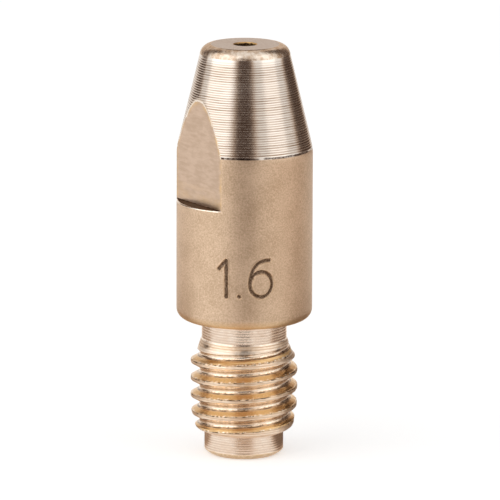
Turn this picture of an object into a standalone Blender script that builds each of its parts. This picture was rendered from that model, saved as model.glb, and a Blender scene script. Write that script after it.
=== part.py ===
"""Welding contact tip: one turned piece of copper alloy with a through bore.

The tip stands on its threaded end, with the origin at the centre of that end's face and its
axis along +Z. From the bottom up it has a plain spigot, an external thread, a neck, a round
body with a seating shoulder underneath, two wrench flats and a conical nose.
"""
import math

import bmesh
import bpy

MM = 0.001

# Driving sizes, in millimetres, with heights measured from the threaded end's face
TIP_LENGTH = 30.0
BODY_DIAMETER = 9.8
STUD_LENGTH = 10.0
SHOULDER_EDGE_RADIUS = 0.74

NOSE_LENGTH = 7.6
NOSE_HALF_ANGLE = 13.6
NOSE_EDGE_RADIUS = 0.8

SPIGOT_DIAMETER = 5.72
SPIGOT_LENGTH = 1.68
SPIGOT_CHAMFER_WIDTH = 0.4
SPIGOT_CHAMFER_HEIGHT = 0.3

NECK_DIAMETER = 6.16
NECK_LENGTH = 1.45
NECK_FILLET_RADIUS = 0.3

THREAD_DIAMETER = 7.74
THREAD_PITCH = 1.25
THREAD_FLANK_ANGLE = 30.0
THREAD_CREST_WIDTH = 0.3
THREAD_DEPTH = 0.66
THREAD_CREST_ON_X = 2.62
THREAD_START_ANGLE = 62.0
THREAD_LEAD_IN_TOP = 3.2
THREAD_LEAD_IN_ANGLE = 16.0
THREAD_RUNOUT_ANGLE = 20.0

BORE_DIAMETER = 1.6
BORE_MOUTH_CHAMFER = 0.08
WIRE_ENTRY_DIAMETER = 3.4
WIRE_ENTRY_HALF_ANGLE = 30.0

ACROSS_FLATS = 7.92
FLAT_LENGTH = 11.3

# Fineness of the facets, and of the search for where a flank meets the blank
COLUMNS = 64
EDGE_STEPS = 5
HALVINGS = 40
MERGE_DISTANCE = 1e-5
SHARP_ANGLE = 25.0

# Colour and finish
ALLOY_COLOUR = (0.62, 0.43, 0.29, 1.0)
ALLOY_ROUGHNESS = 0.38

# Sizes that follow from the driving ones
BODY_RADIUS = BODY_DIAMETER / 2
SPIGOT_RADIUS = SPIGOT_DIAMETER / 2
NECK_RADIUS = NECK_DIAMETER / 2
THREAD_RADIUS = THREAD_DIAMETER / 2
ROOT_RADIUS = THREAD_RADIUS - THREAD_DEPTH
BORE_RADIUS = BORE_DIAMETER / 2
WIRE_ENTRY_RADIUS = WIRE_ENTRY_DIAMETER / 2
THREAD_BOTTOM = SPIGOT_LENGTH
THREAD_TOP = STUD_LENGTH - NECK_LENGTH
SHOULDER_RADIUS = BODY_RADIUS - SHOULDER_EDGE_RADIUS
NECK_FILLET = min(NECK_FILLET_RADIUS, (SHOULDER_RADIUS - NECK_RADIUS) / 2)
NOSE_START = TIP_LENGTH - NOSE_LENGTH
FLANK_SLOPE = math.tan(math.radians(THREAD_FLANK_ANGLE))
FLANK_HEIGHT = THREAD_DEPTH * FLANK_SLOPE


def clear_scene():
    """Remove the objects that Blender starts with."""
    for item in list(bpy.data.objects):
        bpy.data.objects.remove(item, do_unlink=True)


def arc(centre_r, centre_z, radius, start_angle, end_angle):
    """Points of a rounded edge in the (r, z) half plane; angles in degrees from +r to +z."""
    points = []
    for step in range(EDGE_STEPS + 1):
        angle = math.radians(start_angle + (end_angle - start_angle) * step / EDGE_STEPS)
        points.append((centre_r + radius * math.cos(angle), centre_z + radius * math.sin(angle)))
    return points


def blank_radius(z):
    """Radius of the turned blank that the thread is cut into, at height z."""
    start_slope = math.tan(math.radians(THREAD_START_ANGLE))
    lead_in_slope = math.tan(math.radians(THREAD_LEAD_IN_ANGLE))
    runout_slope = math.tan(math.radians(THREAD_RUNOUT_ANGLE))
    start_cone = SPIGOT_RADIUS + (z - THREAD_BOTTOM) * start_slope
    lead_in_cone = THREAD_RADIUS - (THREAD_LEAD_IN_TOP - z) * lead_in_slope
    runout_cone = NECK_RADIUS + (THREAD_TOP - z) * runout_slope
    return min(THREAD_RADIUS, start_cone, lead_in_cone, runout_cone)


def on_blank(z):
    """The blank's point at height z, kept between the spigot's and the neck's corners."""
    height = min(max(z, THREAD_BOTTOM), THREAD_TOP)
    return blank_radius(height), height


def on_root(z):
    """The point at height z on the thread's root, or on the blank where that is thinner."""
    radius, height = on_blank(z)
    return min(radius, ROOT_RADIUS), height


def flank_corner(root_z, direction):
    """Where a flank that leaves the root at root_z comes out of the blank.

    The flank climbs from the root in direction +1 (upwards) or -1 (downwards). It ends at the
    crest, or earlier where the blank's end cones cut it short.
    """
    low, high = 0.0, FLANK_HEIGHT
    for _ in range(HALVINGS):
        middle = (low + high) / 2
        radius, height = on_blank(root_z + direction * middle)
        if ROOT_RADIUS + middle / FLANK_SLOPE < radius:
            low = middle
        else:
            high = middle
    return on_blank(root_z + direction * high)


def thread_rows():
    """The thread's helical rows, bottom to top, each with one (r, z) point for each column.

    Each turn has four rows: the crest's upper edge, the two edges of the root above it, and the
    next crest's lower edge. A row rises by one pitch from column 0 to column COLUMNS, so its
    last point is the first point of the same row one turn higher.
    """
    crest_half = THREAD_CREST_WIDTH / 2
    root_low_offset = crest_half + FLANK_HEIGHT
    root_high_offset = THREAD_PITCH - crest_half - FLANK_HEIGHT
    first_turn = math.floor((THREAD_BOTTOM - THREAD_CREST_ON_X) / THREAD_PITCH) - 2
    last_turn = math.ceil((THREAD_TOP - THREAD_CREST_ON_X) / THREAD_PITCH) + 1
    rows = []
    for turn in range(first_turn, last_turn):
        turn_rows = [[], [], [], []]
        for column in range(COLUMNS + 1):
            crest_z = THREAD_CREST_ON_X + THREAD_PITCH * (turn + column / COLUMNS)
            root_low = crest_z + root_low_offset
            root_high = crest_z + root_high_offset
            turn_rows[0].append(flank_corner(root_low, -1))
            turn_rows[1].append(on_root(root_low))
            turn_rows[2].append(on_root(root_high))
            turn_rows[3].append(flank_corner(root_high, 1))
        rows.extend(turn_rows)
    return rows


def profile_below_thread():
    """Half section from the wire entry's mouth, over the end face and up the spigot."""
    return [
        (WIRE_ENTRY_RADIUS, 0.0),
        (SPIGOT_RADIUS - SPIGOT_CHAMFER_WIDTH, 0.0),
        (SPIGOT_RADIUS, SPIGOT_CHAMFER_HEIGHT),
        (SPIGOT_RADIUS, THREAD_BOTTOM),
    ]


def profile_above_thread():
    """Half section from the neck, over the body and nose, and down the bore to its mouth."""
    fillet_centre_r = NECK_RADIUS + NECK_FILLET
    fillet_centre_z = STUD_LENGTH - NECK_FILLET
    shoulder_centre_z = STUD_LENGTH + SHOULDER_EDGE_RADIUS
    taper = math.radians(NOSE_HALF_ANGLE)
    sharp_tip_radius = BODY_RADIUS - NOSE_LENGTH * math.tan(taper)
    nose_centre_r = sharp_tip_radius - NOSE_EDGE_RADIUS * (1 / math.cos(taper) - math.tan(taper))
    nose_centre_z = TIP_LENGTH - NOSE_EDGE_RADIUS
    entry_depth = (WIRE_ENTRY_RADIUS - BORE_RADIUS) / math.tan(math.radians(WIRE_ENTRY_HALF_ANGLE))
    points = [(NECK_RADIUS, THREAD_TOP)]
    points += arc(fillet_centre_r, fillet_centre_z, NECK_FILLET, 180.0, 90.0)
    points += arc(SHOULDER_RADIUS, shoulder_centre_z, SHOULDER_EDGE_RADIUS, -90.0, 0.0)
    points.append((BODY_RADIUS, NOSE_START))
    points += arc(nose_centre_r, nose_centre_z, NOSE_EDGE_RADIUS, NOSE_HALF_ANGLE, 90.0)
    points.append((BORE_RADIUS + BORE_MOUTH_CHAMFER, TIP_LENGTH))
    points.append((BORE_RADIUS, TIP_LENGTH - BORE_MOUTH_CHAMFER))
    points.append((BORE_RADIUS, entry_depth))
    return points


def add_row(mesh, points):
    """Add one vertex for each (r, z) point, turning by one column from point to point."""
    row = []
    for column, (radius, height) in enumerate(points):
        angle = 2 * math.pi * column / COLUMNS
        place = (radius * math.cos(angle) * MM, radius * math.sin(angle) * MM, height * MM)
        row.append(mesh.verts.new(place))
    return row


def join_rows(mesh, lower, upper):
    """Join two rows of vertices by a band of faces that look outwards."""
    for column in range(COLUMNS):
        mesh.faces.new((lower[column], lower[column + 1], upper[column + 1], upper[column]))


def turned_and_threaded_mesh():
    """The whole tip without its flats, as one closed mesh."""
    rows = [[point] * (COLUMNS + 1) for point in profile_below_thread()]
    rows += thread_rows()
    rows += [[point] * (COLUMNS + 1) for point in profile_above_thread()]
    shape = bmesh.new()
    rings = [add_row(shape, row) for row in rows]
    for lower, upper in zip(rings, rings[1:] + rings[:1]):
        join_rows(shape, lower, upper)
    bmesh.ops.remove_doubles(shape, verts=shape.verts, dist=MERGE_DISTANCE * MM)
    mesh = bpy.data.meshes.new("contact_tip")
    shape.to_mesh(mesh)
    shape.free()
    return mesh


def flat_cutter(side):
    """A hidden block that mills the wrench flat facing -X (side -1) or +X (side +1).

    The block starts at the flat's ledge and runs past the nose and the body's sides.
    """
    depth = BODY_RADIUS
    height = FLAT_LENGTH + BODY_RADIUS
    ledge = TIP_LENGTH - FLAT_LENGTH
    size = (depth, 2 * BODY_DIAMETER, height)
    centre = (side * (ACROSS_FLATS + depth) / 2, 0.0, ledge + height / 2)
    shape = bmesh.new()
    bmesh.ops.create_cube(shape, size=1.0)
    for vertex in shape.verts:
        for axis in range(3):
            vertex.co[axis] = (vertex.co[axis] * size[axis] + centre[axis]) * MM
    mesh = bpy.data.meshes.new("flat_cutter")
    shape.to_mesh(mesh)
    shape.free()
    cutter = bpy.data.objects.new("flat_cutter", mesh)
    cutter.hide_render = True
    cutter.display_type = 'WIRE'
    bpy.context.scene.collection.objects.link(cutter)
    return cutter


def copper_alloy():
    """Pale bronze-coloured copper alloy, tumbled to a satin finish."""
    material = bpy.data.materials.new("copper_alloy")
    material.use_nodes = True
    shader = material.node_tree.nodes["Principled BSDF"]
    shader.inputs["Base Color"].default_value = ALLOY_COLOUR
    shader.inputs["Metallic"].default_value = 1.0
    shader.inputs["Roughness"].default_value = ALLOY_ROUGHNESS
    material.diffuse_color = ALLOY_COLOUR
    return material


def contact_tip():
    """The tip: turned, threaded, then milled on two sides."""
    mesh = turned_and_threaded_mesh()
    mesh.materials.append(copper_alloy())
    mesh.shade_smooth()
    mesh.set_sharp_from_angle(angle=math.radians(SHARP_ANGLE))
    tip = bpy.data.objects.new("contact_tip", mesh)
    bpy.context.scene.collection.objects.link(tip)
    for side in (-1, 1):
        cut = tip.modifiers.new("wrench_flat", 'BOOLEAN')
        cut.operation = 'DIFFERENCE'
        cut.solver = 'EXACT'
        cut.object = flat_cutter(side)
    return tip


clear_scene()
contact_tip()
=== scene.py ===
"""Finished look of a welding contact tip that stands on its threaded end.

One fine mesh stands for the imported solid. It has the turned, threaded, milled and engraved
surfaces of the real one, each with its own metal finish, on a pale floor in soft studio light.
"""
import math

import bmesh
import bpy
import numpy as np
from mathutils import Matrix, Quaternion, Vector, noise


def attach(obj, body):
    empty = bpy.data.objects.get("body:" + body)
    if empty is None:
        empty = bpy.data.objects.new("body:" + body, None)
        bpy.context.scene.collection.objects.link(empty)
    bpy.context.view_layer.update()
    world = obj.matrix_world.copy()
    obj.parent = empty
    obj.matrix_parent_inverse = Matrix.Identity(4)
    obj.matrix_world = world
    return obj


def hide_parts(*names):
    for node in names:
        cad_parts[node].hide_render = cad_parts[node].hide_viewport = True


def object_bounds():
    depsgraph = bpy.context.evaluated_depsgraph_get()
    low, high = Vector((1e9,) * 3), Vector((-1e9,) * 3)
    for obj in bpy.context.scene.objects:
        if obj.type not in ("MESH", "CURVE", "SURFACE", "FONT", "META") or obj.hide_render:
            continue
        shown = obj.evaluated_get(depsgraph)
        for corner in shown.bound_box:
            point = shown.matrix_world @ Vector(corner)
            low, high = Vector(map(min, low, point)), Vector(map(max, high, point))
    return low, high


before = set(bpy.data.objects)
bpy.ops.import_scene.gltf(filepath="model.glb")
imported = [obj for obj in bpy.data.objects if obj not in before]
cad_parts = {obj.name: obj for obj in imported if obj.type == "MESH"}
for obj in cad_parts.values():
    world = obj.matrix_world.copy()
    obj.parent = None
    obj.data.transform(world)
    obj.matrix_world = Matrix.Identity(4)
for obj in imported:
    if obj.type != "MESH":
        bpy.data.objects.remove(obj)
cad_low, cad_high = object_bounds()

MM = 0.001

# Sizes in millimetres, the overall ones from the frame
TIP_LENGTH = (cad_high.z - cad_low.z) / MM
BODY_RADIUS = (cad_high.x - cad_low.x) / 2 / MM
STUD_LENGTH = 10.0
SHOULDER_EDGE_RADIUS = 0.74
NOSE_LENGTH = 7.5
NOSE_HALF_ANGLE = math.radians(13.6)
NOSE_EDGE_RADIUS = 0.8
SPIGOT_RADIUS = 2.86
SPIGOT_LENGTH = 1.68
SPIGOT_CHAMFER_WIDTH = 0.4
SPIGOT_CHAMFER_HEIGHT = 0.3
NECK_RADIUS = 3.08
NECK_LENGTH = 1.45
NECK_FILLET = 0.3
THREAD_RADIUS = 3.87
THREAD_PITCH = 1.25
THREAD_DEPTH = 0.66
THREAD_FLANK_SLOPE = math.tan(math.radians(30.0))
THREAD_CREST_WIDTH = 0.24
THREAD_CREST_ON_X = 2.54

# The turned blank that the thread is cut into: its radius at some heights, from the start cone
# over the lead-in and the full thread to the run-out at the neck
BLANK_HEIGHTS = (
    1.68, 1.76, 1.90, 2.04, 2.26, 2.65, 3.20, 3.90, 4.50, 6.95, 7.15, 7.40, 7.60, 7.95, 8.35, 8.55,
)
BLANK_RADII = (
    2.86, 3.12, 3.40, 3.55, 3.62, 3.68, 3.83, 3.85, 3.87, 3.87, 3.76, 3.52, 3.41, 3.29, 3.16, 3.08,
)
BORE_RADIUS = 0.8
MOUTH_CHAMFER = 0.08
WIRE_ENTRY_RADIUS = 1.7
WIRE_ENTRY_SLOPE = math.tan(math.radians(60.0))
FLAT_DISTANCE = 3.96
FLAT_LENGTH = 11.3

# Sizes that follow
THREAD_BOTTOM = SPIGOT_LENGTH
THREAD_TOP = STUD_LENGTH - NECK_LENGTH
ROOT_RADIUS = THREAD_RADIUS - THREAD_DEPTH
FLANK_HEIGHT = THREAD_DEPTH * THREAD_FLANK_SLOPE
NECK_TOP = STUD_LENGTH - NECK_FILLET
SHOULDER_RADIUS = BODY_RADIUS - SHOULDER_EDGE_RADIUS
SHOULDER_TOP = STUD_LENGTH + SHOULDER_EDGE_RADIUS
NOSE_START = TIP_LENGTH - NOSE_LENGTH
NOSE_SLOPE = math.tan(NOSE_HALF_ANGLE)
FACE_SIDE = NOSE_EDGE_RADIUS * (1 / math.cos(NOSE_HALF_ANGLE) - NOSE_SLOPE)
FACE_RADIUS = BODY_RADIUS - NOSE_LENGTH * NOSE_SLOPE - FACE_SIDE
LEDGE = TIP_LENGTH - FLAT_LENGTH
WIRE_ENTRY_TOP = (WIRE_ENTRY_RADIUS - BORE_RADIUS) * WIRE_ENTRY_SLOPE

# Worn edges, in millimetres
EDGE_WEAR = 0.06
WIRE_ENTRY_WEAR = 0.05
CHAMFER_WEAR = 0.06
MOUTH_WEAR = 0.03
LEDGE_RIM = 0.09
CREST_ROUNDING = 0.05
ROOT_ROUNDING = 0.12
CREST_BURR = 0.05
CREST_WAVE = 0.03
NOSE_DENT = 0.002
NOSE_EDGE_DENT = 0.006

# Worn foot of the cone: how far each row is sunk, and its height above the foot
WORN_BODY_ROWS = ((0.0, -0.34), (0.003, -0.24), (0.009, -0.15), (0.018, -0.08), (0.026, -0.02))
WORN_NOSE_ROWS = ((0.032, 0.02), (0.036, 0.06), (0.039, 0.1))
WORN_HEIGHT = 0.17

# The scallops that a turning tool leaves at each feed, and how strongly their painted shade shows
NOSE_FEED = 0.168
NOSE_SCALLOP = 0.009
STUD_FEED = 0.18
NECK_SCALLOP = 0.005
SPIGOT_SCALLOP = 0.008
SCALLOP_SHARES = (0.0, 0.2, 0.5, 0.8)
FINE_GROOVE = 0.55
LINE_DEPTH = 0.008

# Rows of the mesh: steps of the rounded forms, heights on the plain walls, and shares of the
# face's radius. FLANK_HALVINGS is how often the search for a flank's end halves its range.
CREST_STEPS = 6
FLANK_HALVINGS = 24
FILLET_STEPS = 4
SHOULDER_STEPS = 9
NOSE_EDGE_STEPS = 14
LOWER_WALL_HEIGHTS = (11.0, 11.4, 11.8)
ENGRAVED_ROW_HEIGHT = 0.2
UPPER_WALL_HEIGHTS = (16.2, 16.8, 17.4, 18.0, 18.3)
FLAT_WALL_BOTTOM = LEDGE + 0.08
FLAT_WALL_TOP = NOSE_START - 0.45
FLAT_WALL_ROWS = 13
FACE_SHARES = (0.98, 0.85, 0.7)
INNER_FACE_SHARE = 0.6
BORE_ROWS = 24

# Columns round the axis: how many a flat's half and the round side between flats have, and those
# at a flat's edge, inside it as shares of its half angle and outside it as steps beyond it
FLAT_COLUMNS = 15
SIDE_COLUMNS = 46
EDGE_INSIDE = (0.96, 0.985, 1.0)
EDGE_OUTSIDE = (math.radians(0.4), math.radians(1.1))
NARROWEST_FLAT = math.radians(0.4)

# Engraved bore size, in millimetres. STROKE_NOISE is what makes a stroke's edges ragged, as
# (frequency, height) pairs.
ENGRAVED_ANGLE = math.radians(-123.0)
ENGRAVED_BOTTOM = 12.5
DIGIT_HEIGHT = 2.65
STROKE_HALF_WIDTH = 0.15
ENGRAVED_DEPTH = 0.12
ENGRAVED_LIP = 0.02
ENGRAVED_LIP_WIDTH = 0.03
STROKE_NOISE = ((7.0, 0.035), (19.0, 0.02))
ENGRAVED_MARGIN = 0.35
ENGRAVED_CUTS = 5

# View of the photograph: the camera looks at AIM, moved by AIM_RIGHT and AIM_UP in its picture
VIEW_AZIMUTH = math.radians(-34.0)
VIEW_ELEVATION = math.radians(12.2)
VIEW_ROLL = math.radians(0.21)
VIEW_DISTANCE = 0.427
VIEW_LENS = 426.8
SENSOR_WIDTH = 36.0
AIM = Vector((0.0, 0.0, 0.015))
AIM_RIGHT = 0.0004
AIM_UP = -0.0000725

# Dark smudges on the run-out: angle in degrees, height, half width in degrees, half height. Their
# ragged edges reach no lower than RUNOUT_BOTTOM.
RUNOUT_BOTTOM = 7.0
SMUDGES = (
    (-122.0, 7.98, 14.0, 0.3),
    (179.0, 8.2, 8.0, 0.2),
    (-74.0, 8.05, 6.0, 0.2),
    (-66.0, 7.6, 7.0, 0.26),
)

# Painted shade along the face's edge, on the side that faces the camera: its middle, and how far down it
# reaches
FACE_SHADE_ANGLE = math.radians(-124.0)
FACE_SHADE_HEIGHT = 0.03

# Painted shade round the cone's foot: its middle above the foot, and its half height
FOOT_SHADE_RISE = 0.05
FOOT_SHADE_HEIGHT = 0.085

# How high the stain and the dirt reach above the ledge
LEDGE_STAIN_HEIGHT = 1.8
LEDGE_DIRT_HEIGHT = 1.0

# Where the thread's coloured bands start and stop, and over what height they fade in and out
BANDS_BOTTOM = THREAD_BOTTOM + 0.2
BANDS_FADE_IN = 0.15
BANDS_TOP = THREAD_TOP - 0.3
BANDS_FADE_OUT = 0.2

# Studio: the floor's grey and glow, the world's light, and the cards' and softboxes' distances
# from the tip, in metres; the cards lie CARD_LIFT above the floor where they meet it
FLOOR_GREY = (0.85, 0.85, 0.85, 1.0)
FLOOR_GLOW = 0.42
WORLD_LIGHT = 0.6
WHITE = (1.0, 1.0, 1.0, 1.0)
CARD_DISTANCE = 0.6
CARD_STEPS = 24
CARD_LIFT = 0.0001
SOFTBOX_DISTANCE = 0.5

# A card's colour where it covers the light a little, and where it covers it fully
GEL_WARM = (0.60, 0.45, 0.34, 1.0)
GEL_DARK = (0.10, 0.068, 0.055, 1.0)

# Cards: name, and in degrees the azimuths and elevations from the tip, and the width of the soft
# edges across and up; then how much it covers in its middle
CARDS = (
    ("front_card", (-31.0, 29.0), (-17.0, 36.0), (20.0, 5.0), 1.0),
    ("front_floor_card", (-34.0, 34.0), (-76.0, -26.0), (22.0, 8.0), 0.5),
    ("left_card", (-152.0, -102.0), (-1.0, 62.0), (15.0, 4.0), 1.0),
    ("right_card", (96.0, 165.0), (-7.0, 62.0), (18.0, 4.0), 0.95),
    ("left_upper_card", (-172.0, -118.0), (34.0, 62.0), (16.0, 8.0), 0.8),
    ("right_upper_card", (118.0, 168.0), (36.0, 62.0), (16.0, 8.0), 0.8),
    ("back_card", (132.0, 228.0), (3.0, 54.0), (16.0, 8.0), 0.28),
    ("right_floor_card", (22.0, 124.0), (-16.0, -1.5), (22.0, 4.0), 0.5),
    ("left_near_card", (-165.0, -85.0), (-80.0, -14.0), (22.0, 6.0), 0.65),
    ("right_near_card", (64.0, 165.0), (-80.0, -14.0), (24.0, 6.0), 0.8),
)

# Softboxes: name, azimuth and elevation in degrees, (width, height) in metres, power in watts
SOFTBOXES = (
    ("left_softbox", -60.0, 30.0, (0.6, 0.6), 0.85),
    ("right_softbox", 62.0, 30.0, (0.34, 0.6), 0.34),
)


# Profiles


def rounded(corners, steps=3):
    """A half section's (r, z) points, with each (r, z, size) corner cut back by size and bent."""
    points = []
    for index, (r, z, size) in enumerate(corners):
        corner = np.array((r, z))
        if size == 0.0 or index in (0, len(corners) - 1):
            points.append(corner)
            continue
        before = np.array(corners[index - 1][:2]) - corner
        after = np.array(corners[index + 1][:2]) - corner
        reach = min(size, 0.45 * np.linalg.norm(before), 0.45 * np.linalg.norm(after))
        start = corner + before / np.linalg.norm(before) * reach
        end = corner + after / np.linalg.norm(after) * reach
        for step in range(steps + 1):
            share = step / steps
            bent = start * (1 - share) ** 2 + corner * 2 * share * (1 - share) + end * share ** 2
            points.append(bent)
    return points


def ellipse(centre, radii, start_angle, end_angle, steps):
    """Points along part of an ellipse; angles in radians from its first axis to its second."""
    points = []
    for step in range(steps + 1):
        angle = start_angle + (end_angle - start_angle) * step / steps
        across = centre[0] + radii[0] * math.cos(angle)
        up = centre[1] + radii[1] * math.sin(angle)
        points.append(np.array((across, up)))
    return points


def arc(centre, radius, start_angle, end_angle, steps):
    """Points of a round edge; angles in radians from +r to +z."""
    return ellipse(centre, (radius, radius), start_angle, end_angle, steps)


def turned(start, end, feed, depth, fade=0):
    """A turned run's (r, z, groove) points: a shallow scallop for each feed of the tool.

    groove is the share of the scallop's depth that the point lies at. The scallops fade out over
    the last turns, as many as fade says.
    """
    start, end = np.array(start), np.array(end)
    run = end - start
    length = np.linalg.norm(run)
    inwards = np.array((-run[1], run[0])) / length
    count = round(length / feed)
    points = []
    for turn in range(count):
        strength = 1.0 + 0.4 * noise.noise(Vector((1.7 * turn + 0.5, 0.3, 0.0)))
        strength *= min(1.0, (count - turn - 0.5) / (fade + 0.5))
        for share in SCALLOP_SHARES:
            groove = 4 * share * (1 - share)
            r, z = start + run * (turn + share) / count + inwards * depth * strength * groove
            points.append((r, z, groove * strength))
    return points


# Rows of the mesh


def plain_radius(height):
    """Radius of the body and the nose at a height, before the flats are milled."""
    return BODY_RADIUS - max(0.0, height - NOSE_START) * NOSE_SLOPE


def flat_radius(angle):
    """How far a flat's plane is from the axis, looking from it at this angle."""
    return FLAT_DISTANCE / np.maximum(np.abs(np.cos(angle)), 1e-6)


def edge_angle(radius):
    """Half the angle that a flat takes up, seen from the axis, where the blank has this radius."""
    return max(math.acos(min(1.0, FLAT_DISTANCE / radius)), NARROWEST_FLAT)


FULL_EDGE = edge_angle(BODY_RADIUS)


def column_angles(edge):
    """Angles of the columns, which follow the flats' edges at +-edge from the X axis."""
    inside = [edge * EDGE_INSIDE[0] * n / FLAT_COLUMNS for n in range(FLAT_COLUMNS)]
    inside += [edge * share for share in EDGE_INSIDE]
    outside = [edge + step for step in EDGE_OUTSIDE]
    start, end = outside[-1], math.pi - outside[-1]
    side = [start + (end - start) * n / SIDE_COLUMNS for n in range(1, SIDE_COLUMNS)]
    quarter = inside + outside
    half = quarter + side + [math.pi - angle for angle in reversed(quarter)]
    return np.array(half + [math.pi + angle for angle in half[1:]])


COLUMNS = len(column_angles(FULL_EDGE)) - 1


def smooth_min(a, b, blend):
    """The smaller of a and b, with the crease between them rounded over blend."""
    near = np.clip((blend - np.abs(a - b)) / blend, 0.0, 1.0)
    return np.minimum(a, b) - near ** 2 * blend / 4


def ring(zone, radius, height, groove=0.0, edge=FULL_EDGE):
    """One plain row: every column at the same radius and height."""
    every = np.ones(COLUMNS + 1)
    return zone, column_angles(edge), radius * every, height * every, groove * every


def milled_ring(zone, radius, height, groove=0.0):
    """One row above the ledge, cut back to the flats."""
    angles = column_angles(edge_angle(plain_radius(height)))
    flat = flat_radius(angles)
    heights = np.full(COLUMNS + 1, height)
    return zone, angles, smooth_min(radius, flat, EDGE_WEAR), heights, groove * (flat > radius)


def ledge_rows():
    """Rows over the ledges at the flats' feet, from the body's rim to the foot of the flat."""
    angles = column_angles(FULL_EDGE)
    flat = smooth_min(BODY_RADIUS, flat_radius(angles), EDGE_WEAR)
    rim = np.minimum(LEDGE_RIM, (BODY_RADIUS - flat) / 2)
    plain = np.zeros(COLUMNS + 1)
    rows = []
    for turn in np.linspace(0.0, math.pi / 2, 5):
        radius = BODY_RADIUS - rim * (1 - math.cos(turn))
        rows.append(("rim", angles, radius, LEDGE - rim * (1 - math.sin(turn)), plain))
    for share, rise in ((0.3, 0.0), (0.6, 0.0), (0.9, 0.0), (1.0, 0.02)):
        radius = BODY_RADIUS - rim + (flat - BODY_RADIUS + rim) * share
        rows.append(("ledge", angles, radius, np.full(COLUMNS + 1, LEDGE + rise), plain))
    return rows


def blank_radius(z):
    """Radius of the turned blank that the thread is cut into."""
    return float(np.interp(z, BLANK_HEIGHTS, BLANK_RADII))


def on_blank(z):
    """The blank's (r, z) point at a height, kept between the thread's ends."""
    height = min(max(z, THREAD_BOTTOM), THREAD_TOP)
    return np.array((blank_radius(height), height))


def on_root(z):
    """The (r, z) point of the thread's root at a height, kept inside the blank."""
    radius, height = on_blank(z)
    return np.array((min(radius, ROOT_RADIUS), height))


def flank_corner(root_z, way):
    """Where the flank that leaves the root at root_z, up (1) or down (-1), comes out of the blank."""
    low, high = 0.0, FLANK_HEIGHT
    for _ in range(FLANK_HALVINGS):
        middle = (low + high) / 2
        radius, _ = on_blank(root_z + way * middle)
        if ROOT_RADIUS + middle / THREAD_FLANK_SLOPE < radius:
            low = middle
        else:
            high = middle
    return on_blank(root_z + way * high)


def thread_corners(angle):
    """The thread's (corner, rounding) pairs in the half plane at this angle, bottom to top.

    Each turn adds four: the crest's upper edge, the root's two ends and the next crest's lower
    edge.
    """
    crest_half = THREAD_CREST_WIDTH / 2
    first = math.floor((THREAD_BOTTOM - THREAD_CREST_ON_X) / THREAD_PITCH) - 2
    last = math.ceil((THREAD_TOP - THREAD_CREST_ON_X) / THREAD_PITCH) + 1
    corners = []
    for turn in range(first, last):
        crest = THREAD_CREST_ON_X + THREAD_PITCH * (turn + angle / (2 * math.pi))
        root_low = crest + crest_half + FLANK_HEIGHT
        root_high = crest + THREAD_PITCH - crest_half - FLANK_HEIGHT
        corners.append((flank_corner(root_low, -1), CREST_ROUNDING))
        corners.append((on_root(root_low), ROOT_ROUNDING))
        corners.append((on_root(root_high), ROOT_ROUNDING))
        corners.append((flank_corner(root_high, 1), CREST_ROUNDING))
    return corners


def thread_section(angle):
    """The thread's (r, z) points in the half plane at this angle, bottom to top.

    Every section has the same count of points, so that equal ones join into helical rows. Each
    corner but the first and last is rounded by three points. One more point follows on a flank or
    root, and CREST_STEPS - 1 on a crest.
    """
    corners = thread_corners(angle)
    points = []
    for index in range(1, len(corners) - 1):
        corner, size = corners[index]
        before = corners[index - 1][0] - corner
        after = corners[index + 1][0] - corner
        reach_before = np.linalg.norm(before)
        reach_after = np.linalg.norm(after)
        reach = min(size, 0.4 * reach_before, 0.4 * reach_after)
        start = corner + before * (reach / reach_before if reach_before else 0.0)
        end = corner + after * (reach / reach_after if reach_after else 0.0)
        points += [start, (start + end) / 4 + corner / 2, end]
        if index % 4 == 3:
            next_corner, next_size = corners[index + 1]
            bottom = end[1]
            rise = next_corner[1] - min(next_size, 0.4 * reach_after) - bottom
            for step in range(1, CREST_STEPS):
                points.append(on_blank(bottom + rise * step / CREST_STEPS))
        else:
            points.append(corner + after / 2)
    return points


def thread_rows():
    """The thread's helical rows."""
    angles = column_angles(FULL_EDGE)
    sections = np.array([thread_section(angle) for angle in angles])
    plain = np.zeros(COLUMNS + 1)
    return [("stud", angles, points[:, 0], points[:, 1], plain) for points in sections.swapaxes(0, 1)]


def turned_rows(start, end, depth):
    """Rows of a turned part of the stud, without the first, which is there already."""
    points = turned(start, end, STUD_FEED, depth)
    return [ring("stud", r, z, groove * FINE_GROOVE) for r, z, groove in points[1:]]


def stud_rows():
    """Rows from the wire entry out over the foot, and up the spigot, the thread and the neck."""
    foot = rounded([
        (BORE_RADIUS, WIRE_ENTRY_TOP, 0.0),
        (WIRE_ENTRY_RADIUS, 0.0, WIRE_ENTRY_WEAR),
        ((WIRE_ENTRY_RADIUS + SPIGOT_RADIUS) / 2, 0.0, 0.0),
        (SPIGOT_RADIUS - SPIGOT_CHAMFER_WIDTH, 0.0, CHAMFER_WEAR),
        (SPIGOT_RADIUS, SPIGOT_CHAMFER_HEIGHT, CHAMFER_WEAR),
        (SPIGOT_RADIUS, SPIGOT_CHAMFER_HEIGHT + 0.15, 0.0),
    ])
    rows = [ring("stud", r, z) for r, z in foot]
    rows += turned_rows(foot[-1], (SPIGOT_RADIUS, THREAD_BOTTOM), SPIGOT_SCALLOP)
    rows += thread_rows()
    rows += turned_rows((NECK_RADIUS, THREAD_TOP), (NECK_RADIUS, NECK_TOP), NECK_SCALLOP)
    fillet_centre = (NECK_RADIUS + NECK_FILLET, NECK_TOP)
    fillet = arc(fillet_centre, NECK_FILLET, math.pi, math.pi / 2, FILLET_STEPS)
    rows += [ring("stud", r, z) for r, z in fillet]
    return rows


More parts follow.
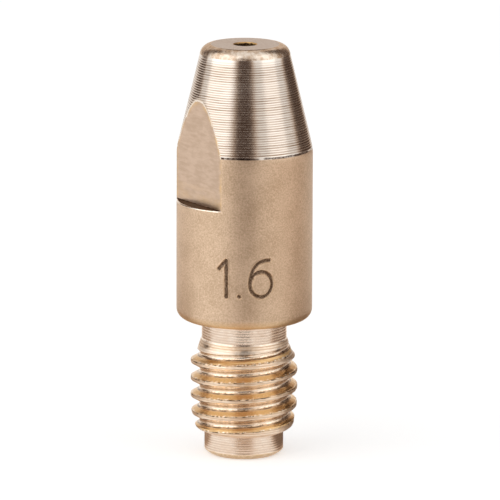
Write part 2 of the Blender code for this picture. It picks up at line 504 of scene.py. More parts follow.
def body_rows():
    """Rows over the shoulder and up the body, round at first and then milled flat."""
    shoulder_centre = (SHOULDER_RADIUS, SHOULDER_TOP)
    shoulder = arc(shoulder_centre, SHOULDER_EDGE_RADIUS, -math.pi / 2, 0.0, SHOULDER_STEPS)
    rows = [ring("body", r, z) for r, z in shoulder]
    low = ENGRAVED_BOTTOM - ENGRAVED_MARGIN
    high = ENGRAVED_BOTTOM + DIGIT_HEIGHT + ENGRAVED_MARGIN
    count = round((high - low) / ENGRAVED_ROW_HEIGHT)
    engraved = tuple(low + (high - low) * n / count for n in range(count + 1))
    for height in LOWER_WALL_HEIGHTS + engraved + UPPER_WALL_HEIGHTS:
        rows.append(ring("body", BODY_RADIUS, height))
    rows += ledge_rows()
    for height in np.linspace(FLAT_WALL_BOTTOM, FLAT_WALL_TOP, FLAT_WALL_ROWS):
        rows.append(milled_ring("body", BODY_RADIUS, height))
    for sink, rise in WORN_BODY_ROWS:
        rows.append(milled_ring("body", BODY_RADIUS - sink, NOSE_START + rise))
    return rows


def nose_rows():
    """Rows up the cone, round its edge and in over the face."""
    rows = []
    for sink, rise in WORN_NOSE_ROWS:
        rows.append(milled_ring("nose", BODY_RADIUS - sink, NOSE_START + rise))
    edge_centre = (FACE_RADIUS, TIP_LENGTH - NOSE_EDGE_RADIUS)
    edge = arc(edge_centre, NOSE_EDGE_RADIUS, NOSE_HALF_ANGLE, math.pi / 2, NOSE_EDGE_STEPS)
    cone_start = (BODY_RADIUS - WORN_HEIGHT * NOSE_SLOPE, NOSE_START + WORN_HEIGHT)
    cone = turned(cone_start, edge[0], NOSE_FEED, NOSE_SCALLOP, 3)
    rows += [milled_ring("nose", r, z, groove) for r, z, groove in cone]
    rows += [ring("edge", r, z, edge=NARROWEST_FLAT) for r, z in edge]
    rows += [ring("face", FACE_RADIUS * share, TIP_LENGTH, edge=NARROWEST_FLAT) for share in FACE_SHARES]
    return rows


def bore_rows():
    """Rows over the bore's mouth and down the bore to the wire entry."""
    mouth = rounded([
        (FACE_RADIUS * INNER_FACE_SHARE, TIP_LENGTH, 0.0),
        (BORE_RADIUS + MOUTH_CHAMFER, TIP_LENGTH, MOUTH_WEAR),
        (BORE_RADIUS, TIP_LENGTH - MOUTH_CHAMFER, MOUTH_WEAR),
        (BORE_RADIUS, TIP_LENGTH - 0.15, 0.0),
        (BORE_RADIUS, TIP_LENGTH - 0.4, 0.0),
    ])
    rows = [ring("face", r, z, edge=NARROWEST_FLAT) for r, z in mouth[:4]]
    rows += [ring("bore", r, z, edge=NARROWEST_FLAT) for r, z in mouth[4:]]
    for share in np.linspace(0.03, 1.0, BORE_ROWS):
        height = TIP_LENGTH + (WIRE_ENTRY_TOP - TIP_LENGTH) * share
        edge = NARROWEST_FLAT + (FULL_EDGE - NARROWEST_FLAT) * share
        rows.append(ring("bore", BORE_RADIUS, height, edge=edge))
    return rows


def all_rows():
    """Every row of the tip: out from the wire entry, up the outside and down the bore."""
    return stud_rows() + body_rows() + nose_rows() + bore_rows()


# Engraving


def bezier(start, first, second, end, steps):
    """Points along a cubic curve from start to end, pulled towards first and second."""
    points = []
    for step in range(steps + 1):
        t = step / steps
        weights = ((1 - t) ** 3, 3 * t * (1 - t) ** 2, 3 * t ** 2 * (1 - t), t ** 3)
        points.append(sum(w * np.array(p) for w, p in zip(weights, (start, first, second, end))))
    return points


def engraved_strokes():
    """Strokes of the number 1.6, the bore in millimetres: (along, up) lists from its middle."""
    top = DIGIT_HEIGHT
    one = [np.array((-1.95, top - 0.62)), np.array((-1.4, top)), np.array((-1.4, 0.0))]
    point = [np.array((-0.45, 0.03)), np.array((-0.45, 0.06))]
    bowl = ellipse((1.15, 0.92), (0.82, 0.92), math.pi, 3 * math.pi, 28)
    stem = bezier((0.33, 0.92), (0.33, 2.0), (0.85, 2.75), (1.75, top), 14)
    return [one, point, bowl, stem]


def distance_to_strokes(place, strokes):
    """Distance of each place from the nearest stroke."""
    nearest = np.full(len(place), 1e9)
    for stroke in strokes:
        for start, end in zip(stroke, stroke[1:]):
            run = end - start
            share = np.clip((place - start) @ run / (run @ run), 0.0, 1.0)
            nearest = np.minimum(nearest, np.linalg.norm(place - start - share[:, None] * run, axis=1))
    return nearest


def place_on_wall(point):
    """A point's place on the wall, as (along, up) in millimetres from the number's middle."""
    angle = math.atan2(point.y, point.x) - ENGRAVED_ANGLE
    angle = (angle + math.pi) % (2 * math.pi) - math.pi
    return angle * BODY_RADIUS, point.z / MM - ENGRAVED_BOTTOM


def faces_round_number(shape, strokes):
    """The wall's faces in the number's frame, in their order in the mesh."""
    along_places = np.concatenate(strokes)[:, 0]
    left = along_places.min() - ENGRAVED_MARGIN
    right = along_places.max() + ENGRAVED_MARGIN
    chosen = []
    for face in shape.faces:
        centre = face.calc_center_median()
        along, up = place_on_wall(centre)
        on_wall = math.hypot(centre.x, centre.y) >= BODY_RADIUS * MM * 0.98
        if on_wall and left < along < right and -ENGRAVED_MARGIN < up < DIGIT_HEIGHT + ENGRAVED_MARGIN:
            chosen.append(face)
    return chosen


def engrave(shape):
    """Refine the wall round the number, and press its strokes in with a worn lip."""
    strokes = engraved_strokes()
    chosen = faces_round_number(shape, strokes)
    edges = list(dict.fromkeys(edge for face in chosen for edge in face.edges))
    made = bmesh.ops.subdivide_edges(shape, edges=edges, cuts=ENGRAVED_CUTS, use_grid_fill=True)
    verts = [item for item in made["geom_inner"] if isinstance(item, bmesh.types.BMVert)]
    verts += [vert for face in chosen if face.is_valid for vert in face.verts]
    verts = list(dict.fromkeys(verts))
    dirt_and_shade = shape.verts.layers.float["dirt_and_shade"]
    tarnish_and_reflection = shape.verts.layers.float["tarnish_and_reflection"]
    places = np.array([place_on_wall(vert.co) for vert in verts])
    distance = distance_to_strokes(places, strokes)
    for vert, near in zip(verts, distance):
        rough = sum(noise.noise(vert.co / MM * often) * size for often, size in STROKE_NOISE)
        share = max(0.0, 1.0 - ((near + rough) / STROKE_HALF_WIDTH) ** 2)
        from_lip = near - STROKE_HALF_WIDTH - ENGRAVED_LIP_WIDTH
        lip = math.exp(-(from_lip / ENGRAVED_LIP_WIDTH) ** 2)
        radius = BODY_RADIUS - ENGRAVED_DEPTH * share ** 0.8 + ENGRAVED_LIP * lip
        scale = radius * MM / math.hypot(vert.co.x, vert.co.y)
        vert.co.x *= scale
        vert.co.y *= scale
        # The strokes take on more of the dark mark the deeper they are, and their lip a little of the
        # golden one
        vert[dirt_and_shade] = 0.8 * share
        vert[tarnish_and_reflection] = 0.2 * lip


# The mesh


# Finishes of the faces, and values on the vertices
ZONES = ("body", "flat", "nose", "edge", "face", "stud", "bore", "ledge", "rim")
MARKS = ("groove", "lines", "tarnish_and_reflection", "dirt_and_shade", "thread")


def worn(zone, angle, radius, height):
    """A vertex's place after handling and tool chatter: dented inwards, and a wavy crest."""
    place = Vector((radius * math.cos(angle), radius * math.sin(angle), height))
    if zone == "nose":
        radius -= NOSE_DENT * (1.0 + noise.noise(place * 3.0))
    elif zone == "edge":
        radius -= NOSE_EDGE_DENT * (1.0 + noise.noise(place * 1.6))
    elif zone == "stud" and radius > ROOT_RADIUS + 0.5 * THREAD_DEPTH:
        share = (radius - ROOT_RADIUS) / THREAD_DEPTH
        torn = noise.noise(place * 2.3) + 0.5 * noise.noise(place * 5.0)
        radius -= CREST_BURR * share * max(0.0, torn)
        height += CREST_WAVE * share * noise.noise(place * 2.9 + Vector((9.0, 0.0, 0.0)))
    return Vector((radius * math.cos(angle), radius * math.sin(angle), height)) * MM


def limited(value):
    """The value, kept between 0 and 1."""
    return min(1.0, max(0.0, value))


def smudge_at(angle, height, place):
    """How dark the run-out's smudges are at a place."""
    share = 0.0
    for middle, level, half_width, half_height in SMUDGES:
        turn = (math.degrees(angle) - middle + 180.0) % 360.0 - 180.0
        away = math.hypot(turn / half_width, (height - level) / half_height)
        share = max(share, limited(1.3 - away + 0.5 * noise.noise(place * 4.0)))
    return share


def stud_marks(angle, radius, height, place):
    """The stud's (lines, tarnish_and_reflection, dirt_and_shade, thread) at a place."""
    lines = tarnish_and_reflection = dirt_and_shade = thread = 0.0
    if height < SPIGOT_CHAMFER_HEIGHT + 0.1:
        tarnish_and_reflection = 0.7
        dirt_and_shade = 0.36
    elif THREAD_BOTTOM < height < THREAD_TOP:
        lines = float(blank_radius(height) - radius < 0.05 * THREAD_DEPTH)
        tarnish_and_reflection = 0.25
        thread = limited((height - BANDS_BOTTOM) / BANDS_FADE_IN)
        thread *= limited((BANDS_TOP - height) / BANDS_FADE_OUT)
    if height > RUNOUT_BOTTOM:
        dirt_and_shade = 0.75 * smudge_at(angle, height, place)
    return lines, tarnish_and_reflection, dirt_and_shade, thread


def marks_at(zone, angle, radius, height, groove):
    """What a vertex carries: the value of each of MARKS.

    groove, lines, tarnish_and_reflection and dirt_and_shade say how much of each shows, and thread is 1 on
    the thread.
    On the shoulder the tarnish is a painted golden reflection; in the bore, on the ledges, along the
    face's edge and round the cone's foot the dirt is painted shade.
    """
    place = Vector((radius * math.cos(angle), radius * math.sin(angle), height))
    flat = flat_radius(angle)
    cut = flat < radius + 0.02
    lines = tarnish_and_reflection = dirt_and_shade = thread = 0.0
    if zone == "stud":
        lines, tarnish_and_reflection, dirt_and_shade, thread = stud_marks(angle, radius, height, place)
    # Painted golden reflection on the shoulder's rounded underside, strongest at its foot
    elif zone == "body" and height < SHOULDER_TOP:
        tarnish_and_reflection = 1.0 - (height - STUD_LENGTH) / SHOULDER_EDGE_RADIUS
    elif zone == "body" and cut and LEDGE < height < LEDGE + LEDGE_STAIN_HEIGHT:
        streak = 0.4 + 1.4 * noise.noise(Vector((place.x, place.y * 0.6, place.z * 3.5)))
        tarnish_and_reflection = 0.45 * max(0.0, streak) * (1.0 - (height - LEDGE) / LEDGE_STAIN_HEIGHT)
        dirt_and_shade = 0.5 * limited(streak - 0.1) * limited(1.0 - (height - LEDGE) / LEDGE_DIRT_HEIGHT)
    # Painted shade down the bore, from just below the mouth with a ragged top
    elif zone == "bore":
        dirt_and_shade = limited((TIP_LENGTH - 0.06 + 0.06 * noise.noise(place * 3.0) - height) / 0.04)
    # Painted shade on the ledges at the flats' feet
    elif zone == "ledge" and cut:
        dirt_and_shade = 0.5 + 0.8 * noise.noise(place * 2.5)
    # Painted shade along the face's edge, on the side that faces the camera
    elif zone == "edge" and height > TIP_LENGTH - FACE_SHADE_HEIGHT:
        dirt_and_shade = 0.7 * limited(2.2 * math.cos(angle - FACE_SHADE_ANGLE) - 1.0)
    if zone in ("body", "nose") and height > LEDGE + 0.1:
        gap = plain_radius(height) - flat
        edge = math.exp(-((gap - 0.05) / 0.05) ** 2)
        tarnish_and_reflection = max(tarnish_and_reflection, edge * limited(0.4 + noise.noise(place * 1.5)))
    # Painted shade round the cone's foot, outside the flats, with gaps where the noise is low
    if zone in ("body", "nose") and not cut:
        middle = NOSE_START + FOOT_SHADE_RISE + 0.03 * noise.noise(place * 1.4)
        line = math.exp(-((height - middle) / FOOT_SHADE_HEIGHT) ** 2)
        dirt_and_shade = line * limited(0.95 + 1.0 * noise.noise(place * 2.2))
    return groove, lines, tarnish_and_reflection, dirt_and_shade, thread


def add_rows(shape, rows):
    """Add each row's vertices with their marks, and the faces between neighbouring rows."""
    layers = [shape.verts.layers.float.new(name) for name in MARKS]
    rings = []
    for zone, angles, radii, heights, groove in rows:
        ring_verts = []
        for angle, radius, height, sunk in zip(angles, radii, heights, groove):
            vert = shape.verts.new(worn(zone, angle, radius, height))
            for layer, value in zip(layers, marks_at(zone, angle, radius, height, sunk)):
                vert[layer] = value
            ring_verts.append(vert)
        rings.append(ring_verts)
    for index, lower in enumerate(rings):
        above = (index + 1) % len(rings)
        upper = rings[above]
        zone = "bore" if rows[index][0] == "bore" else rows[above][0]
        for column in range(COLUMNS):
            corners = (lower[column], lower[column + 1], upper[column + 1], upper[column])
            face = shape.faces.new(corners)
            face.material_index = ZONES.index(zone)
            face.smooth = True
    bmesh.ops.remove_doubles(shape, verts=shape.verts, dist=1e-5 * MM)


def sort_faces(shape):
    """Give the flats their own finish, and the body's to ledge faces that stand upright."""
    shape.normal_update()
    for face in shape.faces:
        centre = face.calc_center_median() / MM
        on_flat = centre.z > LEDGE and abs(abs(centre.x) - FLAT_DISTANCE) < 0.004
        if on_flat and abs(face.normal.x) > 0.99:
            face.material_index = ZONES.index("flat")
        elif ZONES[face.material_index] in ("ledge", "rim") and abs(face.normal.z) < 0.05:
            face.material_index = ZONES.index("body")


def mesh_from(shape, name):
    """A named mesh made of a bmesh, which is freed."""
    mesh = bpy.data.meshes.new(name)
    shape.to_mesh(mesh)
    shape.free()
    return mesh


def tip_mesh():
    """The tip's mesh: one zone's index on every face, and MARKS on every vertex."""
    shape = bmesh.new()
    add_rows(shape, all_rows())
    engrave(shape)
    sort_faces(shape)
    return mesh_from(shape, "finished_tip")


def placed(name, data):
    """A new object in the scene."""
    item = bpy.data.objects.new(name, data)
    bpy.context.scene.collection.objects.link(item)
    return item


# Node helpers


class Nodes:
    """A short way to add nodes to one tree and to wire them."""

    def __init__(self, tree):
        self.tree = tree
        tree.nodes.clear()

    def put(self, socket, value):
        """Wire a socket to another node's output, or set it to a constant."""
        if isinstance(value, bpy.types.NodeSocket):
            self.tree.links.new(value, socket)
        else:
            socket.default_value = value

    def add(self, kind, values=None, **settings):
        """A new node, with its inputs' values by name or number and its own settings."""
        node = self.tree.nodes.new(kind)
        for name, value in settings.items():
            setattr(node, name, value)
        for name, value in (values or {}).items():
            self.put(node.inputs[name], value)
        return node

    def math(self, operation, first, second=0.0):
        """One step of arithmetic."""
        return self.add("ShaderNodeMath", {0: first, 1: second}, operation=operation).outputs[0]

    def scaled(self, vector, factors):
        """A vector with each coordinate times its factor."""
        return self.add("ShaderNodeVectorMath", {0: vector, 1: factors}, operation='MULTIPLY').outputs[0]

    def remap(self, value, low, high, to_low=0.0, to_high=1.0):
        """A smooth step from to_low, where value is low, to to_high, where it is high."""
        node = self.add("ShaderNodeMapRange", {
            "Value": value, "From Min": low, "From Max": high, "To Min": to_low, "To Max": to_high,
        }, interpolation_type='SMOOTHSTEP')
        return node.outputs["Result"]

    def noise(self, vector, scale, detail, roughness):
        """Noise with scale patches to a millimetre, between 0 and 1."""
        node = self.add("ShaderNodeTexNoise", {
            "Vector": vector, "Scale": scale, "Detail": detail, "Roughness": roughness,
        })
        return node.outputs["Fac"]

    def mark(self, name):
        """A value that the mesh carries at its points."""
        return self.add("ShaderNodeAttribute", attribute_name=name).outputs["Fac"]

    def mix(self, share, first, second):
        """A colour between the first and the second, by share."""
        node = self.add("ShaderNodeMix", data_type='RGBA')
        self.put(node.inputs[0], share)
        self.put(node.inputs[6], first)
        self.put(node.inputs[7], second)
        return node.outputs[2]


def new_material(name):
    """A new material and its nodes."""
    material = bpy.data.materials.new(name)
    material.use_nodes = True
    return material, Nodes(material.node_tree)


# Metals

# Golden-brown tarnish and painted golden reflection on the alloy, dirt and painted shade, painted
# highlights, and the tint of grazing reflections
GOLDEN = (0.76, 0.505, 0.245, 1.0)
BROWN = (0.070, 0.036, 0.019, 1.0)
HIGHLIGHT_COLOUR = (0.98, 0.88, 0.76, 1.0)
GRAZING_TINT = (0.92, 0.80, 0.68, 1.0)
PLAIN_TINT = (1.0, 0.95, 0.9, 1.0)
BURR_GRAIN = 5.0
BURR_HEIGHT = 0.03

# Stretches of the grain: none, and finer along the axis than round it
STRAIGHT = (1.0, 1.0, 1.0)
CREST_GRAIN = (0.8, 0.8, 2.0)
FLAT_GRAIN = (0.5, 0.5, 2.0)
ROUND_THE_AXIS = (0.25, 0.25, 3.0)

# One finish for each zone: its light and dark colours, the painted shade in its turning grooves, its
# (low, high) roughness, the height in millimetres, frequency per millimetre and stretch of its
# grain, the frequency of its mottling, and its tint at a grazing angle
FINISHES = {
    "body": dict(
        light=(0.70, 0.52, 0.37), dark=(0.50, 0.35, 0.23), valley_shade=(0.4, 0.28, 0.19),
        roughness=(0.37, 0.49), grain=0.014, frequency=9.0,
        stretch=STRAIGHT, mottling=0.5, tint=PLAIN_TINT,
    ),
    "flat": dict(
        light=(0.62, 0.465, 0.355), dark=(0.52, 0.38, 0.28), valley_shade=(0.4, 0.28, 0.19),
        roughness=(0.28, 0.36), grain=0.012, frequency=2.2,
        stretch=FLAT_GRAIN, mottling=0.9, tint=GRAZING_TINT,
    ),
    # The cone's pale colour partly paints its bright reflections, a painted highlight, and its valley
    # colour is painted shade in the scallops
    "nose": dict(
        light=(0.88, 0.81, 0.74), dark=(0.78, 0.69, 0.60), valley_shade=(0.24, 0.145, 0.08),
        roughness=(0.16, 0.24), grain=0.004, frequency=3.0,
        stretch=ROUND_THE_AXIS, mottling=0.5, tint=PLAIN_TINT,
    ),
    "edge": dict(
        light=(0.79, 0.68, 0.57), dark=(0.52, 0.38, 0.27), valley_shade=(0.4, 0.3, 0.2),
        roughness=(0.24, 0.36), grain=0.030, frequency=2.4,
        stretch=STRAIGHT, mottling=1.2, tint=GRAZING_TINT,
    ),
    "face": dict(
        light=(0.66, 0.62, 0.60), dark=(0.56, 0.51, 0.49), valley_shade=(0.4, 0.3, 0.2),
        roughness=(0.32, 0.42), grain=0.012, frequency=4.0,
        stretch=STRAIGHT, mottling=0.8, tint=GRAZING_TINT,
    ),
    "stud": dict(
        light=(0.91, 0.79, 0.67), dark=(0.77, 0.61, 0.48), valley_shade=(0.50, 0.33, 0.22),
        roughness=(0.16, 0.28), grain=0.010, frequency=3.0,
        stretch=CREST_GRAIN, mottling=0.8, tint=PLAIN_TINT,
    ),
    # The bore's golden colour is a painted golden highlight inside the mouth; the mesh marks painted shade
    # further down
    "bore": dict(
        light=(0.80, 0.53, 0.22), dark=(0.52, 0.31, 0.12), valley_shade=(0.3, 0.2, 0.1),
        roughness=(0.4, 0.6), grain=0.010, frequency=3.0,
        stretch=ROUND_THE_AXIS, mottling=0.8, tint=PLAIN_TINT,
    ),
    # The ledge's near black colour is painted shade in the corner at the flat's foot
    "ledge": dict(
        light=(0.17, 0.085, 0.04), dark=(0.07, 0.037, 0.02), valley_shade=(0.3, 0.2, 0.1),
        roughness=(0.26, 0.4), grain=0.012, frequency=3.0,
        stretch=STRAIGHT, mottling=1.5, tint=PLAIN_TINT,
    ),
    # The rim is a polished burr, and its pale colour also paints the glint along it, a painted highlight
    "rim": dict(
        light=(0.92, 0.84, 0.76), dark=(0.76, 0.62, 0.48), valley_shade=(0.4, 0.3, 0.2),
        roughness=(0.12, 0.22), grain=0.010, frequency=5.0,
        stretch=STRAIGHT, mottling=1.5, tint=PLAIN_TINT,
    ),
}

# Bands of the thread, each as (middle, half width) in millimetres above a crest's middle: a painted
# highlight over dark nicks at the crest's upper edge, the upper flank with a painted golden reflection
# and a line of painted shade in it, the root's edge with painted shade and painted highlights, the
# lower flank lightened by a painted reflection, and the raised burr
CREST_EDGE = THREAD_CREST_WIDTH / 2
CREST_HIGHLIGHT = (CREST_EDGE + 0.05, 0.055)
NICKED_EDGE = (CREST_EDGE - 0.015, 0.055)
FLANK_REFLECTION = (CREST_EDGE + 0.14, 0.20)
FLANK_SHADE_LINE = (CREST_EDGE + 0.31, 0.05)
ROOT_EDGE = (CREST_EDGE + 0.38, 0.05)
LOWER_FLANK = (-CREST_EDGE - 0.19, 0.26)
BURR_BAND = (CREST_EDGE, 0.09)


def thread_bands(nodes, place):
    """Bands along the thread's helix, as a function of (middle, half width) above a crest."""
    parts = nodes.add("ShaderNodeSeparateXYZ", {0: place}).outputs
    turn = nodes.math('DIVIDE', nodes.math('ARCTAN2', parts["Y"], parts["X"]), 2 * math.pi)
    level = nodes.math('DIVIDE', nodes.math('SUBTRACT', parts["Z"], THREAD_CREST_ON_X), THREAD_PITCH)
    turns = nodes.math('ADD', nodes.math('SUBTRACT', level, turn), 0.5)
    above = nodes.math('MULTIPLY', nodes.math('SUBTRACT', nodes.math('FRACT', turns), 0.5), THREAD_PITCH)

    def band(middle, half_width):
        away = nodes.math('ABSOLUTE', nodes.math('SUBTRACT', above, middle))
        share = nodes.remap(away, half_width, half_width * 0.35)
        return nodes.math('MULTIPLY', share, nodes.mark("thread"))

    return band


def thread_finish(nodes, place, along, speck, colour, height):
    """The stud's colour and height, with the thread's bands put in: painted highlights, painted shade and
    a painted golden reflection, dark nicks, and the burr's height.
    """
    band = thread_bands(nodes, place)
    ragged = nodes.noise(place, BURR_GRAIN, 3.0, 0.6)
    patchy = nodes.noise(along, 2.2, 2.0, 0.5)
    uneven = nodes.remap(speck, 0.2, 0.5, 0.85, 1.0)
    # Painted golden reflection on the upper flank, uneven with the specks
    colour = nodes.mix(nodes.math('MULTIPLY', band(*FLANK_REFLECTION), uneven), colour, GOLDEN)
    # Painted shade: a patchy dark line where the upper flank meets the root
    flank_shade = nodes.math('MULTIPLY', band(*FLANK_SHADE_LINE), nodes.remap(patchy, 0.35, 0.6, 0.1, 0.75))
    colour = nodes.mix(flank_shade, colour, BROWN)
    root_edge = band(*ROOT_EDGE)
    torn = nodes.math('MULTIPLY', band(*NICKED_EDGE), nodes.remap(ragged, 0.58, 0.44))
    torn = nodes.math('MULTIPLY', torn, nodes.remap(patchy, 0.42, 0.56, 0.2, 1.0))
    # Painted shade along the root's ragged edge
    root_shade = nodes.math('MULTIPLY', root_edge, nodes.remap(ragged, 0.46, 0.38, 0.0, 0.5))
    colour = nodes.mix(nodes.math('MAXIMUM', torn, root_shade), colour, BROWN)
    # Painted highlights: a ragged bright line just above the crest and at the root's edge, and the lower
    # flank half lightened
    highlight = nodes.math('MULTIPLY', band(*CREST_HIGHLIGHT), nodes.remap(ragged, 0.50, 0.60))
    root_highlight = nodes.math('MULTIPLY', root_edge, nodes.remap(ragged, 0.52, 0.60))
    highlight = nodes.math('MAXIMUM', highlight, root_highlight)
    highlight = nodes.math('MAXIMUM', highlight, nodes.math('MULTIPLY', band(*LOWER_FLANK), 0.5))
    colour = nodes.mix(highlight, colour, HIGHLIGHT_COLOUR)
    burr = nodes.math('MULTIPLY', ragged, band(*BURR_BAND))
    return colour, nodes.math('ADD', height, nodes.math('MULTIPLY', burr, BURR_HEIGHT))


def metal(name, light, dark, valley_shade, roughness, grain, frequency, stretch, mottling, tint):
    """One finish of the alloy, with the tarnish and painted golden reflection, the dirt and painted shade,
    and the grooves, coloured as painted shade, that the mesh marks.
    """
    material, nodes = new_material(name + "_metal")
    place = nodes.scaled(nodes.add("ShaderNodeTexCoord").outputs["Object"], (1 / MM,) * 3)
    along = nodes.scaled(place, stretch)
    mottle = nodes.noise(place, mottling, 4.0, 0.55)
    texture = nodes.noise(along, frequency, 4.0, 0.6)
    speck = nodes.noise(place, frequency * 2.1, 2.0, 0.5)

    tone = nodes.math('ADD', nodes.math('MULTIPLY', mottle, 0.35), nodes.math('MULTIPLY', texture, 0.65))
    colour = nodes.mix(nodes.remap(tone, 0.36, 0.64), dark + (1.0,), light + (1.0,))
    # Painted shade in the turning grooves: the scallops that the mesh marks, and a wave of the height
    # where it marks lines, take on the valley colour; the lines are pressed in as bumps too
    level = nodes.add("ShaderNodeSeparateXYZ", {0: place}).outputs["Z"]
    wave = nodes.math('SINE', nodes.math('MULTIPLY', level, 2 * math.pi / STUD_FEED))
    line = nodes.math('MULTIPLY', nodes.remap(wave, -0.2, -0.9), nodes.mark("lines"))
    groove = nodes.math('MAXIMUM', nodes.mark("groove"), line)
    groove = nodes.math('MULTIPLY', groove, nodes.remap(texture, 0.2, 0.8, 0.45, 1.0))
    colour = nodes.mix(nodes.math('MINIMUM', groove, 1.0), colour, valley_shade + (1.0,))
    grain_share = nodes.remap(speck, 0.3, 0.6, 0.55, 1.0)
    # Golden tarnish, which is a painted golden reflection where the mesh marks the shoulder
    tarnish_and_reflection = nodes.math('MULTIPLY', nodes.mark("tarnish_and_reflection"), grain_share)
    colour = nodes.mix(tarnish_and_reflection, colour, GOLDEN)
    # Brown dirt, which is painted shade where the mesh marks the bore, the ledges, the face's edge and the
    # cone's foot
    dirt_and_shade = nodes.math('MULTIPLY', nodes.remap(nodes.mark("dirt_and_shade"), 0.15, 0.75), grain_share)
    colour = nodes.mix(dirt_and_shade, colour, BROWN)

    uneven = nodes.math('ADD', nodes.math('MULTIPLY', speck, 0.6), nodes.math('MULTIPLY', mottle, 0.4))
    rough = nodes.remap(uneven, 0.3, 0.7, roughness[0], roughness[1])
    rough = nodes.math('ADD', rough, nodes.math('MULTIPLY', nodes.mark("lines"), 0.2))
    height = nodes.math('ADD', nodes.math('MULTIPLY', texture, 0.6), nodes.math('MULTIPLY', speck, 0.4))
    height = nodes.math('MULTIPLY', height, grain)
    height = nodes.math('SUBTRACT', height, nodes.math('MULTIPLY', line, LINE_DEPTH))
    if name == "stud":
        colour, height = thread_finish(nodes, place, along, speck, colour, height)
    bump = nodes.add("ShaderNodeBump", {"Height": height, "Strength": 1.0, "Distance": MM})
    shader = nodes.add("ShaderNodeBsdfPrincipled", {
        "Base Color": colour, "Metallic": 1.0, "Roughness": rough, "Normal": bump.outputs[0],
        "Specular Tint": tint,
    })
    nodes.add("ShaderNodeOutputMaterial", {"Surface": shader.outputs[0]})
    return material


# Stage


def shown_ray(nodes):
    """1 for rays whose end is seen: straight from the camera, in a reflection or through glass."""
    path = nodes.add("ShaderNodeLightPath")
    seen = nodes.math('MAXIMUM', path.outputs["Is Camera Ray"], path.outputs["Is Glossy Ray"])
    return nodes.math('MAXIMUM', seen, path.outputs["Is Transmission Ray"])


def pale_floor():
    """A wide pale floor that shows white and keeps the shadow."""
    shape = bmesh.new()
    bmesh.ops.create_grid(shape, x_segments=1, y_segments=1, size=3.0)
    floor = placed("floor", mesh_from(shape, "floor"))
    material, nodes = new_material("pale_floor")
    matt = nodes.add("ShaderNodeBsdfDiffuse", {"Color": FLOOR_GREY})
    glow = nodes.add("ShaderNodeEmission", {"Color": WHITE, "Strength": FLOOR_GLOW})
    both = nodes.add("ShaderNodeAddShader", {0: matt.outputs[0], 1: glow.outputs[0]})
    mix = nodes.add("ShaderNodeMixShader", {0: shown_ray(nodes), 1: matt.outputs[0], 2: both.outputs[0]})
    nodes.add("ShaderNodeOutputMaterial", {"Surface": mix.outputs[0]})
    floor.data.materials.append(material)


def direction(azimuth, elevation):
    """A unit vector; azimuth is turned from the camera's side, positive to its right."""
    turn = VIEW_AZIMUTH + azimuth
    return Vector((
        math.sin(turn) * math.cos(elevation), -math.cos(turn) * math.cos(elevation), math.sin(elevation),
    ))


def card_mesh(name, azimuths, elevations, soft, strength):
    """A sheet bent round the tip, whose mark "cover" fades out towards its edges.

    It stands at CARD_DISTANCE, and goes on along the floor where a line from the tip at a lower
    elevation meets the floor sooner.
    """
    shape = bmesh.new()
    cover = shape.verts.layers.float.new("cover")
    grid = []
    for row in range(CARD_STEPS + 1):
        up = elevations[0] + (elevations[1] - elevations[0]) * row / CARD_STEPS
        reach = CARD_DISTANCE
        if up < 0.0:
            reach = min(reach, (AIM.z - CARD_LIFT) / math.sin(math.radians(-up)))
        grid.append([])
        for column in range(CARD_STEPS + 1):
            turn = azimuths[0] + (azimuths[1] - azimuths[0]) * column / CARD_STEPS
            vert = shape.verts.new(AIM + direction(math.radians(turn), math.radians(up)) * reach)
            inside_across = min(turn - azimuths[0], azimuths[1] - turn) / soft[0]
            inside_up = min(up - elevations[0], elevations[1] - up) / soft[1]
            share = min(1.0, inside_across) * min(1.0, inside_up)
            vert[cover] = strength * share * share * (3 - 2 * share)
            grid[-1].append(vert)
    for low, high in zip(grid, grid[1:]):
        for column in range(CARD_STEPS):
            shape.faces.new((low[column], low[column + 1], high[column + 1], high[column]))
    return mesh_from(shape, name)


def card(name, azimuths, elevations, soft, strength):
    """A dark brown gel that shows only in reflections; its values are those of CARDS."""
    item = placed(name, card_mesh(name, azimuths, elevations, soft, strength))
    item.visible_camera = False
    item.visible_diffuse = False
    item.visible_shadow = False
    material, nodes = new_material(name)
    cover = nodes.mark("cover")
    tone = nodes.mix(nodes.remap(cover, 0.0, 0.6), WHITE, GEL_WARM)
    tone = nodes.mix(nodes.remap(cover, 0.4, 1.0), tone, GEL_DARK)
    gel = nodes.add("ShaderNodeBsdfTransparent", {"Color": tone})
    nodes.add("ShaderNodeOutputMaterial", {"Surface": gel.outputs[0]})
    item.data.materials.append(material)


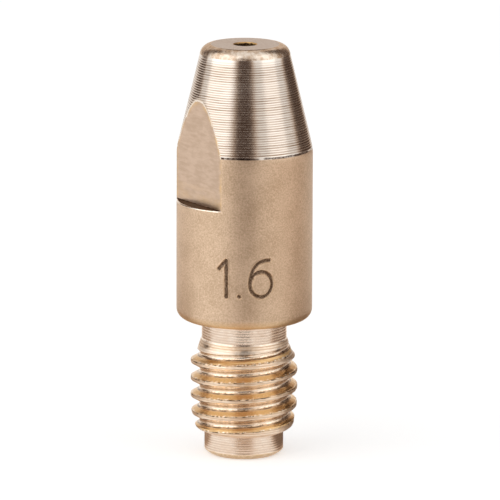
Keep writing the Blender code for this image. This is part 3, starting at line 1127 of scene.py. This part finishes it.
def softbox(name, azimuth, elevation, size, power):
    """A soft lamp that faces the tip; its values are those of SOFTBOXES."""
    light = bpy.data.lights.new(name, 'AREA')
    light.shape = 'RECTANGLE'
    light.size, light.size_y = size
    light.energy = power
    lamp = placed(name, light)
    towards = direction(math.radians(azimuth), math.radians(elevation))
    lamp.location = AIM + towards * SOFTBOX_DISTANCE
    lamp.rotation_mode = 'QUATERNION'
    lamp.rotation_quaternion = towards.to_track_quat('Z', 'Y')


def studio():
    """The world, which shows white and lights more softly, with the cards and softboxes."""
    world = bpy.data.worlds.new("studio")
    bpy.context.scene.world = world
    world.use_nodes = True
    nodes = Nodes(world.node_tree)
    light = nodes.add("ShaderNodeBackground", {"Color": WHITE, "Strength": WORLD_LIGHT})
    white = nodes.add("ShaderNodeBackground", {"Color": WHITE, "Strength": 1.0})
    mix = nodes.add("ShaderNodeMixShader", {0: shown_ray(nodes), 1: light.outputs[0], 2: white.outputs[0]})
    nodes.add("ShaderNodeOutputWorld", {"Surface": mix.outputs[0]})
    for values in CARDS:
        card(*values)
    for values in SOFTBOXES:
        softbox(*values)


def place_camera():
    """The camera of the photograph's view."""
    camera = placed("camera", bpy.data.cameras.new("camera"))
    camera.data.lens = VIEW_LENS
    camera.data.sensor_width = SENSOR_WIDTH
    camera.data.clip_start = 0.01
    back = direction(0.0, VIEW_ELEVATION)
    right = Vector((-back.y, back.x, 0.0)).normalized()
    up = back.cross(right)
    aim = AIM + right * AIM_RIGHT + up * AIM_UP
    camera.location = aim + back * VIEW_DISTANCE
    camera.rotation_mode = 'QUATERNION'
    roll = Quaternion((0.0, 0.0, 1.0), VIEW_ROLL)
    camera.rotation_quaternion = (-back).to_track_quat('-Z', 'Y') @ roll
    bpy.context.scene.camera = camera


tip = placed("finished_tip", tip_mesh())
for zone in ZONES:
    tip.data.materials.append(metal(zone, **FINISHES[zone]))
tip.data.set_sharp_from_angle(angle=math.radians(50.0))
weighted = tip.modifiers.new("weighted_normals", 'WEIGHTED_NORMAL')
weighted.keep_sharp = True
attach(tip, "root")
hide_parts("contact_tip")

pale_floor()
studio()
place_camera()
bpy.context.scene.view_settings.view_transform = 'Standard'
